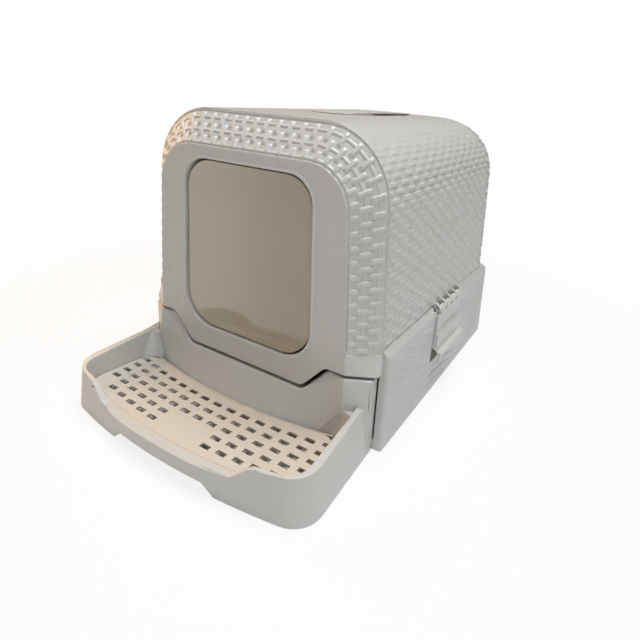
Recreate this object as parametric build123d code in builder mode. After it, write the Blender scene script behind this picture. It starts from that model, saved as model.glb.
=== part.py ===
from build123d import *
import os
from math import cos, radians, sin, tan

os.makedirs("parts", exist_ok=True)

# ---------------------------------------------------------------- driving dimensions (mm)
# Depths "y" are counted backwards from the smooth face of the front panel, which stands
# at Y = panel_y, so that the whole box is centred on the origin, on the floor.
panel_y = -185.25
body_rear_y = 526.0
ring_rear_y = 30.5
base_front_y = 31.5

wall = 3.0
gap = 0.5

# lower housing
base_half_floor = 201.7
base_flare = 0.0496
base_rear_flare = 0.12
shoulder_low_z = 136.0
parting_z = 144.6
base_corner_floor_r = 32.0
base_corner_growth = 0.12
base_front_r = 5.0
floor_low_z = 8.0
floor_top_z = 11.0
runner_top_z = 14.0

# hood: moulded with draft, measured at the height ref_z
ref_z = 207.0
hood_half_ref = 180.0
side_draft = 0.093
hood_rear_y = 486.5
hood_top_z = 384.0
shoulder_r = 88.0
rear_shoulder_r = 44.0
hood_corner_r = 46.0
ring_top_z = 383.0
ring_corner_r = 86.0
roof_rise_deg = 0.9

# front panel and doorway
frame_half_ref = 145.0
frame_top_z = 343.3
frame_corner_r = 52.5
door_half_ref = 100.0
door_draft = 0.0515
door_top_z = 329.5
door_bottom_z = 107.6
door_top_r = 33.5
door_bottom_r = 45.0
door_tunnel_y = 16.0
foot_low_z = 100.0
foot_high_z = 136.0
foot_swell = 14.5
flap_y = 3.5
flap_thick = 3.0
flap_gap = 1.8
flap_axis_z = 293.0
flap_knuckle_r = 4.4
flap_axis_y = flap_y + flap_knuckle_r
flap_pin_r = 2.0

# drawer front and step
seam_low_z = 70.5
seam_high_z = 108.0
seam_low_half = 97.0
seam_high_half = 129.0
seam_gap = 4.2
step_front_y = -151.5
step_half_floor = 189.9
step_flare = 0.15
step_splay = 0.045
step_rim_fall = 0.085
step_corner_r = 36.0
step_rim_z = 71.0
step_front_rim_z = 38.5
step_notch_half = 104.0
step_notch_top_half = 127.0
step_corner_rim_z = 58.5
arch_foot_half = 86.0
arch_top_half = 68.0
arch_height = 14.0
grate_thick = 3.0
slot_pitch = 22.66
slot_row_pitch = 17.5
slot_row_y = -50.2
slot_bow = 18.3
trough_floor_z = 12.5
grate_ledge_z = 29.0
front_wall_rear_y = 30.0
ear_front_y = 16.0

# litter pan
tray_rear_y = 484.0
tray_half = 172.0
tray_low_z = 14.3
tray_top_z = 67.0
tray_wall = 2.5
screw_spots = ((-130, 40), (-60, 40), (60, 40), (130, 40))

# side latches
latch_mid_y = 250.0
latch_half = 55.0
latch_axis_x = 194.2
latch_axis_z = 142.0
latch_pin_r = 1.75
lug_pitch = 25.0
lug_width = 5.0
pocket_half = 60.0
pocket_back_x = 189.0
pocket_low_z = 58.0

# carry handle
handle_mid_y = 286.0
handle_half_length = 116.0
handle_half_width = 30.0
handle_proud = 1.0
handle_thick = 2.6
handle_foot_half = 14.0
handle_foot_thick = 5.0
handle_pin_r = 2.0
foot_length = 22.0
dish_half_length = 98.0
dish_half_width = 44.0
dish_depth = 13.0

bore_play = 0.05
seat_play = 0.3


# ---------------------------------------------------------------- planes and outlines
def facing(y):
    """Upright plane across the box at depth y: local x is X, local y is height."""
    return Plane(origin=(0, panel_y + y, 0), x_dir=(1, 0, 0), z_dir=(0, -1, 0))


def sideways(x):
    """Upright plane along the box at X = x: local x is Y, local y is height."""
    return Plane(origin=(x, 0, 0), x_dir=(0, 1, 0), z_dir=(1, 0, 0))


def hood_half(z):
    return hood_half_ref - side_draft * (z - ref_z)


def base_half(z):
    return base_half_floor - base_flare * z


def roof_z(y):
    return hood_top_z + (y - ring_rear_y) * tan(radians(roof_rise_deg))


def arch_face(y, half_ref, top, corner_r, bottom, draft=side_draft, foot_r=0.0):
    """Upright outline with drafted sides and rounded corners, half_ref wide at ref_z."""
    low = half_ref - draft * (bottom - ref_z)
    high = half_ref - draft * (top - ref_z)
    with BuildSketch(facing(y)) as outline:
        with BuildLine():
            Polyline((-low, bottom), (low, bottom), (high, top), (-high, top), close=True)
        make_face()
        fillet(outline.vertices().group_by(Axis.Y)[-1], corner_r)
        if foot_r > 0:
            fillet(outline.vertices().group_by(Axis.Y)[0], foot_r)
    return outline.sketch


def plan_face(plane, half, front, rear, rear_r, front_r=0.0):
    """Outline seen from above: rounded at the rear, square or slightly rounded in front."""
    with BuildSketch(plane) as outline:
        with BuildLine():
            Polyline((-half, front), (half, front), (half, rear), (-half, rear), close=True)
        make_face()
        fillet(outline.vertices().group_by(Axis.Y)[-1], rear_r)
        if front_r > 0:
            fillet(outline.vertices().group_by(Axis.Y)[0], front_r)
    return outline.sketch


def base_face(z, inset, front):
    """The housing's outline at height z, moved inwards by the inset."""
    plane = Plane.XY.offset(z)
    rear = body_rear_y - base_rear_flare * z - inset + panel_y
    half = base_half(z) - inset
    corner_r = base_corner_floor_r + base_corner_growth * z - inset
    return plan_face(plane, half, front + panel_y, rear, corner_r, base_front_r - inset)


def hood_face(height, half, rear, corner_r, front):
    """The hood's outline on a plane that rises backwards with the roof."""
    rise = radians(roof_rise_deg) * (height - parting_z) / (hood_top_z - parting_z)
    plane = Plane(
        origin=(0, panel_y + ring_rear_y, height),
        x_dir=(1, 0, 0),
        z_dir=(0, -sin(rise), cos(rise)),
    )
    return plan_face(plane, half, front - ring_rear_y, rear - ring_rear_y, corner_r)


def hood_faces(skin, front, bottom):
    """Outlines of the hood, skin deep inside its outer surface: straight walls, then dome."""
    lean = side_draft
    centre_z = hood_top_z - shoulder_r
    centre_x = hood_half(centre_z) - shoulder_r / cos(lean)
    centre_y = hood_rear_y - lean * (centre_z - parting_z) - rear_shoulder_r / cos(lean)
    radius = shoulder_r - skin
    rear_radius = rear_shoulder_r - skin
    low_half = hood_half(bottom) - skin
    low_rear = hood_rear_y - lean * (bottom - parting_z) - skin
    walls = [hood_face(bottom, low_half, low_rear, hood_corner_r - skin, front)]
    dome = []
    for turn in (lean, radians(24), radians(43), radians(60), radians(75), radians(90)):
        dome.append(
            hood_face(
                centre_z + radius * sin(turn),
                centre_x + radius * cos(turn),
                centre_y + rear_radius * cos(turn),
                hood_corner_r - skin,
                front,
            )
        )
    walls.append(dome[0])
    return walls, dome


def band_foot_face(side, z, swell, inset):
    """Plan at height z of the bevelled band's swollen foot, moved inwards by the inset."""
    inner_x = frame_half_ref - side_draft * (z - ref_z)
    outer_x = hood_half(z)
    with BuildSketch(Plane.XY.offset(z)) as outline:
        with BuildLine():
            Polyline(
                (side * (inner_x + 0.4 * inset), panel_y + 1.2 * inset),
                (side * (outer_x - 2 - inset), panel_y + ring_rear_y - swell + inset),
                (side * (outer_x - 1.1 * inset), panel_y + ring_rear_y + 0.3 * inset),
                (side * (inner_x - inset), panel_y + 8.0),
                close=True,
            )
        make_face()
    return outline.sketch


def seam_area(low_z, high_z, bottom, spread=0.0):
    """Area under the stepped seam between the front panel and the drawer front."""
    side = 260.0
    with BuildSketch(facing(60.0)) as area:
        with BuildLine():
            Polyline(
                (-side, bottom),
                (side, bottom),
                (side, high_z),
                (seam_high_half - spread, high_z),
                (seam_low_half - spread, low_z),
                (spread - seam_low_half, low_z),
                (spread - seam_high_half, high_z),
                (-side, high_z),
                close=True,
            )
        make_face()
        bends = area.vertices().filter_by(lambda v: abs(v.X) < side - 1)
        fillet(bends, 14)
    return area.sketch


# ---------------------------------------------------------------- lower housing
# Open-fronted box with flared walls. Its shoulder slopes in to a ledge that carries the
# hood, and a locating rib stands up inside the hood's foot. Each side has a latch pocket.
with BuildPart() as base_shell:
    ledge_half = hood_half(parting_z) + 0.6
    ledge_rear = hood_rear_y + 0.6 + panel_y
    mouth_half = hood_half(parting_z) - wall - 4.5
    mouth_rear = hood_rear_y - wall - 4.5 + panel_y
    inner_front_y = base_front_y + wall
    under_ledge = Plane.XY.offset(parting_z - wall)
    loft(sections=[base_face(0, 0, base_front_y), base_face(shoulder_low_z, 0, base_front_y)], ruled=True)
    loft(
        sections=[
            base_face(shoulder_low_z, 0, base_front_y),
            plan_face(
                Plane.XY.offset(parting_z - seat_play),
                ledge_half,
                base_front_y + panel_y,
                ledge_rear,
                hood_corner_r,
                base_front_r,
            ),
        ],
        ruled=True,
    )
    # room inside up to the ledge, and the opening through the ledge
    loft(
        sections=[
            base_face(floor_top_z, wall, inner_front_y),
            base_face(shoulder_low_z - 8, wall, inner_front_y),
        ],
        ruled=True,
        mode=Mode.SUBTRACT,
    )
    loft(
        sections=[
            base_face(shoulder_low_z - 8, wall, inner_front_y),
            plan_face(under_ledge, mouth_half, inner_front_y + panel_y, mouth_rear, 40, 2),
        ],
        ruled=True,
        mode=Mode.SUBTRACT,
    )
    extrude(
        plan_face(under_ledge, mouth_half, base_front_y - 20 + panel_y, mouth_rear, 40),
        amount=20,
        mode=Mode.SUBTRACT,
    )
    # hollow under the floor
    loft(
        sections=[base_face(0, wall, inner_front_y), base_face(floor_low_z, wall, inner_front_y)],
        ruled=True,
        mode=Mode.SUBTRACT,
    )
    # mouth for the drawer, between two narrow front posts with a raised foot each
    foot_half = 182.0
    foot_top_z = 16.0
    with BuildSketch(facing(base_front_y - 5)):
        with BuildLine():
            Polyline(
                (-foot_half, floor_top_z),
                (foot_half, floor_top_z),
                (foot_half, foot_top_z),
                (base_half(foot_top_z) - 11.7, foot_top_z),
                (base_half(parting_z) - 11.7, parting_z + 1),
                (-base_half(parting_z) + 11.7, parting_z + 1),
                (-base_half(foot_top_z) + 11.7, foot_top_z),
                (-foot_half, foot_top_z),
                close=True,
            )
        make_face()
    extrude(amount=-(wall + 7), mode=Mode.SUBTRACT)
    # locating rib inside the hood's foot
    rib_half = hood_half(parting_z + 8) - wall - gap
    rib_rear = hood_rear_y - side_draft * 8 - wall - gap + panel_y
    with BuildSketch(under_ledge):
        add(plan_face(Plane.XY, rib_half, base_front_y + 18 + panel_y, rib_rear, 43.5))
        add(
            plan_face(Plane.XY, rib_half - 2.4, base_front_y + 8 + panel_y, rib_rear - 2.4, 41.1),
            mode=Mode.SUBTRACT,
        )
    extrude(amount=wall + 7)
    # runners for the litter pan, and low side guides
    with BuildSketch(Plane.XY.offset(floor_top_z)):
        with Locations((-110, panel_y + 275), (110, panel_y + 275)):
            Rectangle(6, 450)
    extrude(amount=runner_top_z - floor_top_z)
    guide_x = tray_half + 2.5
    with BuildSketch(Plane.XY.offset(floor_top_z)):
        with Locations((-guide_x, panel_y + 275), (guide_x, panel_y + 275)):
            Rectangle(3, 440)
    extrude(amount=12)
    # latch pockets: a backing wall inside, then the pocket, and the bead the latch holds on
    for side in (-1, 1):
        pad_height = parting_z - wall - pocket_low_z + 4
        with BuildSketch(Plane.XY.offset(pocket_low_z - 4)):
            with Locations((side * (pocket_back_x + 2), panel_y + latch_mid_y)):
                Rectangle(4 + 2 * wall, 2 * pocket_half + 8)
        extrude(amount=pad_height)
        with BuildSketch(Plane.XY.offset(pocket_low_z)):
            with Locations((side * (pocket_back_x + 20), panel_y + latch_mid_y)):
                RectangleRounded(40, 2 * pocket_half, 3)
        extrude(amount=parting_z, mode=Mode.SUBTRACT)
        with BuildSketch(Plane.XY.offset(92)):
            with Locations((side * (pocket_back_x + 0.3), panel_y + latch_mid_y)):
                Rectangle(1.4, 60)
        extrude(amount=4)
base_shell.part.label = "base_shell"
export_step(base_shell.part, "parts/base_shell.step")

# ---------------------------------------------------------------- hood
# One deep moulding: drafted side walls, domed shoulders, a roof that rises slightly to the
# rear with a finger dish under the handle, and hinge lugs for the two side latches.
with BuildPart() as hood_shell:
    outer_walls, outer_dome = hood_faces(0, ring_rear_y, parting_z)
    inner_walls, inner_dome = hood_faces(wall, ring_rear_y - 10, parting_z - 5)
    loft(sections=outer_walls, ruled=True)
    loft(sections=outer_dome)
    loft(sections=inner_walls, ruled=True, mode=Mode.SUBTRACT)
    loft(sections=inner_dome, mode=Mode.SUBTRACT)
    # finger dish in the roof: its floor and walls, then its hollow
    dish_low_z = roof_z(handle_mid_y) - dish_depth
    with BuildSketch(Plane.XY.offset(dish_low_z - wall)):
        with Locations((0, panel_y + handle_mid_y)):
            RectangleRounded(2 * (dish_half_width + wall), 2 * (dish_half_length + wall), 31)
    extrude(amount=dish_depth)
    with BuildSketch(Plane.XY.offset(dish_low_z)):
        with Locations((0, panel_y + handle_mid_y)):
            RectangleRounded(2 * dish_half_width, 2 * dish_half_length, 28)
    extrude(amount=dish_depth + 20, mode=Mode.SUBTRACT)
    # slots for the handle's two feet
    foot_y = handle_half_length - 6
    with BuildSketch(Plane.XY.offset(hood_top_z - 30)):
        with Locations((0, panel_y + handle_mid_y - foot_y), (0, panel_y + handle_mid_y + foot_y)):
            Rectangle(2 * handle_foot_half + 1.2, handle_foot_thick + 1.2)
    extrude(amount=60, mode=Mode.SUBTRACT)
    # hinge lugs between and beside the latch knuckles
    for side in (-1, 1):
        for step in range(-2, 3):
            lug_front_y = latch_mid_y + step * lug_pitch - lug_width / 2
            with BuildSketch(facing(lug_front_y)):
                with BuildLine():
                    Polyline(
                        (side * 183.5, parting_z + 12),
                        (side * 188.0, parting_z + 7),
                        (side * 197.5, latch_axis_z + 3.5),
                        (side * 198.7, latch_axis_z),
                        (side * 197.2, latch_axis_z - 3.6),
                        (side * 194.2, latch_axis_z - 4.5),
                        (side * 191.2, latch_axis_z - 3.6),
                        (side * 189.9, latch_axis_z - 1.0),
                        (side * 189.9, latch_axis_z + 1.6),
                        (side * 187.4, parting_z + 1.2),
                        (side * 183.5, parting_z + 1.2),
                        close=True,
                    )
                make_face()
                with Locations((side * latch_axis_x, latch_axis_z)):
                    Circle(latch_pin_r + 0.02, mode=Mode.SUBTRACT)
            extrude(amount=-lug_width)
hood_shell.part.label = "hood_shell"
export_step(hood_shell.part, "parts/hood_shell.step")

# ---------------------------------------------------------------- front panel
# Smooth frame with a raised rim round the doorway, and the bevelled band that runs back
# to the hood's front edge. A tongue behind the band slips inside the hood.
pin_face_x = door_half_ref - door_draft * (flap_axis_z - ref_z)
with BuildPart() as front_panel:
    panel_low = 60.0
    loft(
        sections=[
            arch_face(0, frame_half_ref, frame_top_z, frame_corner_r, panel_low),
            arch_face(ring_rear_y, hood_half_ref, ring_top_z, ring_corner_r, panel_low),
        ],
        ruled=True,
    )
    for side in (-1, 1):
        loft(
            sections=[
                band_foot_face(side, foot_low_z, foot_swell, 0),
                band_foot_face(side, foot_high_z, 2.0, 0),
            ],
            ruled=True,
        )
    loft(
        sections=[
            arch_face(wall, frame_half_ref - 1.2, frame_top_z - 1.2, frame_corner_r - 1.2, panel_low - 5),
            arch_face(
                ring_rear_y + 1, hood_half_ref - 3.6, ring_top_z - 3.6, ring_corner_r - 3.6, panel_low - 5
            ),
        ],
        ruled=True,
        mode=Mode.SUBTRACT,
    )
    for side in (-1, 1):
        loft(
            sections=[
                band_foot_face(side, foot_low_z - 2, foot_swell, wall),
                band_foot_face(side, foot_high_z - 3, 5.0, wall),
            ],
            ruled=True,
            mode=Mode.SUBTRACT,
        )
    # tongue inside the hood
    extrude(
        arch_face(ring_rear_y - 2, hood_half_ref - 3.2, ring_top_z - 3.4, ring_corner_r - 3.4, parting_z + 14),
        amount=-11,
    )
    extrude(
        arch_face(ring_rear_y - 3, hood_half_ref - 5.6, ring_top_z - 5.8, ring_corner_r - 5.8, parting_z + 8),
        amount=-13,
        mode=Mode.SUBTRACT,
    )
    # doorway: tunnel wall with a raised rim, bosses for the flap's pins, then the hole
    rim_width = 3.4
    rim_proud = 1.4
    extrude(
        arch_face(
            -rim_proud,
            door_half_ref + rim_width,
            door_top_z + rim_width,
            door_top_r + rim_width,
            door_bottom_z - rim_width,
            door_draft,
            door_bottom_r + rim_width,
        ),
        amount=-(door_tunnel_y + rim_proud),
    )
    for side in (-1, 1):
        with BuildSketch(sideways(side * (pin_face_x + 1))):
            with Locations((panel_y + flap_axis_y, flap_axis_z)):
                Circle(6)
        extrude(amount=side * 11)
    extrude(
        arch_face(
            -rim_proud - 1,
            door_half_ref,
            door_top_z,
            door_top_r,
            door_bottom_z,
            door_draft,
            door_bottom_r,
        ),
        amount=-(door_tunnel_y + rim_proud + 10),
        mode=Mode.SUBTRACT,
    )
    for side in (-1, 1):
        with BuildSketch(sideways(side * (pin_face_x - 4))):
            with Locations((panel_y + flap_axis_y, flap_axis_z)):
                Circle(flap_pin_r + 0.02)
        extrude(amount=side * 14, mode=Mode.SUBTRACT)
    # stepped lower edge above the drawer front
    panel_edge = seam_area(seam_low_z + seam_gap, seam_high_z + seam_gap, 0, seam_gap / 2)
    extrude(panel_edge, amount=120, mode=Mode.SUBTRACT)
front_panel.part.label = "front_panel"
export_step(front_panel.part, "parts/front_panel.step")

# ---------------------------------------------------------------- swing flap and its pins
# Smoked clear sheet hung inside the doorway on two side pins just under its top corners.
pin_inner_x = pin_face_x - 11.0
with BuildPart() as door_flap:
    extrude(
        arch_face(
            flap_y,
            door_half_ref - flap_gap,
            door_top_z - flap_gap,
            door_top_r + 4,
            door_bottom_z + flap_gap,
            door_draft,
            door_bottom_r,
        ),
        amount=-flap_thick,
    )
    for side in (-1, 1):
        with BuildSketch(sideways(side * pin_inner_x)):
            with Locations((panel_y + flap_axis_y, flap_axis_z)):
                Circle(flap_knuckle_r)
        extrude(amount=side * (11.0 - flap_gap))
        with BuildSketch(sideways(side * (pin_inner_x + 1.5))):
            with Locations((panel_y + flap_axis_y, flap_axis_z)):
                Circle(flap_pin_r + bore_play)
        extrude(amount=side * 20, mode=Mode.SUBTRACT)
door_flap.part.label = "door_flap"
export_step(door_flap.part, "parts/door_flap.step")

for side, name in ((1, "right"), (-1, "left")):
    with BuildPart() as flap_pin:
        with BuildSketch(sideways(side * (pin_inner_x + 1.8))):
            with Locations((panel_y + flap_axis_y, flap_axis_z)):
                Circle(flap_pin_r)
        extrude(amount=side * 18.5)
        chamfer(flap_pin.edges().filter_by(GeomType.CIRCLE), 0.4)
    flap_pin.part.label = "flap_pin_" + name
    export_step(flap_pin.part, "parts/flap_pin_" + name + ".step")


# ---------------------------------------------------------------- drawer front with its step
def step_face(z, half, splay, middle, bow, corner_r, rear):
    """Outline of the step at height z: sides that splay forwards, bowed front."""
    front_half = half + splay * (rear - middle - bow)
    with BuildSketch(Plane.XY.offset(z)) as outline:
        with BuildLine():
            Line((front_half, middle + bow + panel_y), (half, rear + panel_y))
            Line((half, rear + panel_y), (-half, rear + panel_y))
            Line((-half, rear + panel_y), (-front_half, middle + bow + panel_y))
            ThreePointArc(
                (-front_half, middle + bow + panel_y),
                (0, middle + panel_y),
                (front_half, middle + bow + panel_y),
            )
        make_face()
        fillet(outline.vertices().sort_by(Axis.Y)[0:2], corner_r)
    return outline.sketch


def skirt_face(z, inset, rear):
    """The step's outer skin at height z, moved inwards by the inset."""
    splay = step_splay + 0.0002 * z
    half = step_half_floor - step_flare * z - inset - splay * (rear - 8)
    middle = step_front_y - 0.04 * z + inset
    return step_face(z, half, splay, middle, 22.0 + 0.2 * z, step_corner_r - inset, rear)


def trough_face(z, grow, rear):
    """The trough's inner skin at height z, moved outwards by grow."""
    half = 170.5 + 0.05 * (z - grate_ledge_z) + grow - 0.04 * (rear - 8)
    middle = -142.5 - grow
    return step_face(z, half, 0.04, middle, 21.0, 26 + grow, rear)


def cove_face(side, z, front_reach, inner_x, wall_y, ear_y):
    """Plan at height z of the rounded filling in one rear corner of the trough."""
    skin_x = 172.2 + 0.026 * (z - grate_ledge_z)
    bend_x = skin_x - 0.3 * (skin_x - inner_x)
    bend_y = wall_y - 0.045 * (front_reach + wall_y)
    with BuildSketch(Plane.XY.offset(z)) as outline:
        with BuildLine():
            ThreePointArc(
                (side * inner_x, panel_y + wall_y),
                (side * bend_x, panel_y + bend_y),
                (side * skin_x, panel_y - front_reach),
            )
            Polyline(
                (side * skin_x, panel_y - front_reach),
                (side * (skin_x + 2.3), panel_y - front_reach),
                (side * (skin_x + 2.3), panel_y + ear_y),
                (side * (inner_x + 2), panel_y + wall_y + 2),
                (side * inner_x, panel_y + wall_y),
            )
        make_face()
    return outline.sketch


def wall_face(z, inset, rear):
    """Outline of the leaning drawer front at height z, moved inwards by the inset."""
    part = (z - trough_floor_z) / (seam_high_z - trough_floor_z)
    half = base_half(z) - 12.7 - inset
    bevel_x = frame_half_ref - side_draft * (z - ref_z) - inset * 0.5
    bevel_y = -9.0 + 8.0 * part + inset
    middle = -39.0 + 60.0 * part + inset * 1.2
    ear_y = ear_front_y + inset
    with BuildSketch(Plane.XY.offset(z)) as outline:
        with BuildLine():
            Line((half, rear + panel_y), (-half, rear + panel_y))
            Line((-half, rear + panel_y), (-half, ear_y + panel_y))
            Line((-half, ear_y + panel_y), (-bevel_x, bevel_y + panel_y))
            ThreePointArc(
                (-bevel_x, bevel_y + panel_y), (0, middle + panel_y), (bevel_x, bevel_y + panel_y)
            )
            Line((bevel_x, bevel_y + panel_y), (half, ear_y + panel_y))
            Line((half, ear_y + panel_y), (half, rear + panel_y))
        make_face()
    return outline.sketch


# room under the step, between its outer skin and the trough
with BuildPart() as skirt_hollow:
    hollow_top_z = step_front_rim_z - 3.5
    loft(sections=[skirt_face(0, wall, 18), skirt_face(hollow_top_z, wall, 18)], ruled=True)
    loft(
        sections=[
            trough_face(trough_floor_z - wall, wall - 6, 28),
            trough_face(hollow_top_z + 2, wall, 28),
        ],
        ruled=True,
        mode=Mode.SUBTRACT,
    )

# leaning front wall and its ears, up to the seam, and the room inside it
with BuildPart() as front_wall:
    loft(
        sections=[
            wall_face(trough_floor_z, 0, front_wall_rear_y),
            wall_face(seam_high_z, 0, front_wall_rear_y),
        ],
        ruled=True,
    )
    extrude(seam_area(seam_low_z, seam_high_z, -10), amount=160, mode=Mode.INTERSECT)

with BuildPart() as wall_hollow:
    loft(
        sections=[
            wall_face(trough_floor_z - 20, wall, front_wall_rear_y - wall),
            wall_face(seam_high_z, wall, front_wall_rear_y - wall),
        ],
        ruled=True,
    )
    extrude(seam_area(seam_low_z - wall, seam_high_z - wall, -20), amount=160, mode=Mode.INTERSECT)

# flared step with its trough, the leaning wall, the notched front rim and screw bosses
with BuildPart() as drawer_front:
    loft(
        sections=[skirt_face(0, 0, front_wall_rear_y), skirt_face(step_rim_z, 0, front_wall_rear_y)],
        ruled=True,
    )
    # trough: the room above the grate, and the narrower room under it
    loft(
        sections=[trough_face(grate_ledge_z, 0, 18), trough_face(step_rim_z + 4, 0, 18)],
        ruled=True,
        mode=Mode.SUBTRACT,
    )
    extrude(
        trough_face(trough_floor_z, -7, 18), amount=grate_ledge_z - trough_floor_z, mode=Mode.SUBTRACT
    )
    # the side rims fall towards the front
    rim_rear_y = 5.0 + panel_y
    rim_front_z = step_rim_z - step_rim_fall * 170
    with BuildSketch(sideways(-210)):
        with BuildLine():
            Polyline(
                (rim_rear_y, step_rim_z),
                (rim_rear_y, step_rim_z + 2),
                (rim_rear_y - 170, step_rim_z + 2),
                (rim_rear_y - 170, rim_front_z),
                close=True,
            )
        make_face()
    extrude(amount=420, mode=Mode.SUBTRACT)
    add(front_wall.part)
    add(wall_hollow.part, mode=Mode.SUBTRACT)
    add(skirt_hollow.part, mode=Mode.SUBTRACT)
    # rounded rear corners of the trough, fading out upwards
    for side in (-1, 1):
        loft(
            sections=[
                cove_face(side, grate_ledge_z, 34.0, 132.0, -14.6, 3.0),
                cove_face(side, 66.0, 10.0, 157.0, -4.6, 8.0),
            ],
            ruled=True,
        )
    # rolled lip along the low middle of the front rim
    lip_end_x = step_notch_half + 2
    with BuildSketch(Plane.XY.offset(step_front_rim_z - 5)):
        with BuildLine():
            ThreePointArc(
                (-lip_end_x, -148.0 + panel_y),
                (0, step_front_y - 4.0 + panel_y),
                (lip_end_x, -148.0 + panel_y),
            )
            Line((lip_end_x, -148.0 + panel_y), (lip_end_x - 12, -138.0 + panel_y))
            ThreePointArc(
                (lip_end_x - 12, -138.0 + panel_y),
                (0, -146.0 + panel_y),
                (12 - lip_end_x, -138.0 + panel_y),
            )
            Line((12 - lip_end_x, -138.0 + panel_y), (-lip_end_x, -148.0 + panel_y))
        make_face()
    extrude(amount=5)
    # low middle of the front rim, rising in a soft bend to the high corners
    with BuildSketch(facing(-200)) as notch:
        with BuildLine():
            Polyline(
                (-step_notch_half, step_front_rim_z),
                (step_notch_half, step_front_rim_z),
                (step_notch_top_half, step_corner_rim_z),
                (step_notch_top_half + 24, step_corner_rim_z + 2),
                (step_notch_top_half + 24, step_rim_z + 1),
                (-step_notch_top_half - 24, step_rim_z + 1),
                (-step_notch_top_half - 24, step_corner_rim_z + 2),
                (-step_notch_top_half, step_corner_rim_z),
                close=True,
            )
        make_face()
        bends = notch.vertices().filter_by(lambda v: v.Y < step_corner_rim_z + 1)
        fillet(bends, 15)
    extrude(amount=-100, mode=Mode.SUBTRACT)
    # raised arch in the front skin, between the two feet
    with BuildSketch(facing(-200)):
        with BuildLine():
            Polyline(
                (-arch_foot_half, -1),
                (-arch_top_half, arch_height),
                (arch_top_half, arch_height),
                (arch_foot_half, -1),
                close=True,
            )
        make_face()
    extrude(amount=-58, mode=Mode.SUBTRACT)
    # screw bosses on the rear plate
    with BuildSketch(facing(front_wall_rear_y - wall)):
        with Locations(*screw_spots):
            Circle(5)
    extrude(amount=8)
    with BuildSketch(facing(front_wall_rear_y + 1)):
        with Locations(*screw_spots):
            Circle(2.02)
    extrude(amount=11, mode=Mode.SUBTRACT)
drawer_front.part.label = "drawer_front"
export_step(drawer_front.part, "parts/drawer_front.step")

# ---------------------------------------------------------------- step grate
# Loose plate in the trough with five bowed rows of litter slots, a plain patch in the
# middle of the two front rows, and a fine raised border along its rear edge.
with BuildPart() as step_grate:
    with BuildSketch(Plane.XY.offset(grate_ledge_z + seat_play)) as plate:
        with BuildLine():
            Line((174.6, -120.2 + panel_y), (169.5, -7.5 + panel_y))
            ThreePointArc((169.5, -7.5 + panel_y), (0, -30.5 + panel_y), (-169.5, -7.5 + panel_y))
            Line((-169.5, -7.5 + panel_y), (-174.6, -120.2 + panel_y))
            ThreePointArc((-174.6, -120.2 + panel_y), (0, -141.6 + panel_y), (174.6, -120.2 + panel_y))
        make_face()
        fillet(plate.vertices().group_by(Axis.Y)[0], 30)
        fillet(plate.vertices().group_by(Axis.Y)[-1], 32)
    extrude(amount=grate_thick)
    with BuildSketch(Plane.XY.offset(grate_ledge_z + seat_play + grate_thick)):
        with BuildLine():
            ThreePointArc((-154, -12.5 + panel_y), (0, -32 + panel_y), (154, -12.5 + panel_y))
            Line((154, -12.5 + panel_y), (154, -14.5 + panel_y))
            ThreePointArc((154, -14.5 + panel_y), (0, -34 + panel_y), (-154, -14.5 + panel_y))
            Line((-154, -14.5 + panel_y), (-154, -12.5 + panel_y))
        make_face()
    extrude(amount=0.9)
    slot_spots = []
    for row in range(5):
        for column in range(-7, 8):
            full_row = row < 3
            short_row = row == 3 and abs(column) > 1
            shorter_row = row == 4 and 1 < abs(column) < 7
            if full_row or short_row or shorter_row:
                slot_y = slot_row_y - slot_row_pitch * row + slot_bow * (column / 7.0) ** 2
                slot_spots.append((slot_pitch * column, slot_y + panel_y))
    with BuildSketch(Plane.XY.offset(grate_ledge_z)):
        with Locations(*slot_spots):
            Rectangle(13.5, 6.8)
    extrude(amount=grate_thick + 5, mode=Mode.SUBTRACT)
step_grate.part.label = "step_grate"
export_step(step_grate.part, "parts/step_grate.step")

# ---------------------------------------------------------------- litter pan
# Deep open pan screwed to the rear of the drawer front, with a flange round its top.
with BuildPart() as litter_tray:
    pan_rear = tray_rear_y + panel_y
    pan_front = front_wall_rear_y + panel_y
    extrude(
        plan_face(Plane.XY.offset(tray_low_z), tray_half, pan_front, pan_rear, 16, 4),
        amount=tray_top_z - tray_low_z,
    )
    extrude(
        plan_face(Plane.XY.offset(tray_top_z - tray_wall), tray_half + 4, pan_front, pan_rear + 4, 20, 4),
        amount=tray_wall,
    )
    extrude(
        plan_face(
            Plane.XY.offset(tray_low_z + tray_wall),
            tray_half - tray_wall,
            pan_front + tray_wall,
            pan_rear - tray_wall,
            13.5,
            4,
        ),
        amount=tray_top_z,
        mode=Mode.SUBTRACT,
    )
    with BuildSketch(facing(front_wall_rear_y - 1)):
        with Locations(*screw_spots):
            Circle(2.02)
    extrude(amount=-5, mode=Mode.SUBTRACT)
litter_tray.part.label = "litter_tray"
export_step(litter_tray.part, "parts/litter_tray.step")

# four domed screws, driven forwards from inside the pan
with BuildPart() as drawer_screws:
    with BuildSketch(facing(front_wall_rear_y + tray_wall)):
        with Locations(*screw_spots):
            Circle(2)
    extrude(amount=11.5)
    with BuildSketch(facing(front_wall_rear_y + tray_wall)):
        with Locations(*screw_spots):
            Circle(4.2)
    extrude(amount=-2.4)
    chamfer(drawer_screws.edges().group_by(Axis.Y)[-1], 0.8)
drawer_screws.part.label = "drawer_screws"
export_step(drawer_screws.part, "parts/drawer_screws.step")

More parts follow.
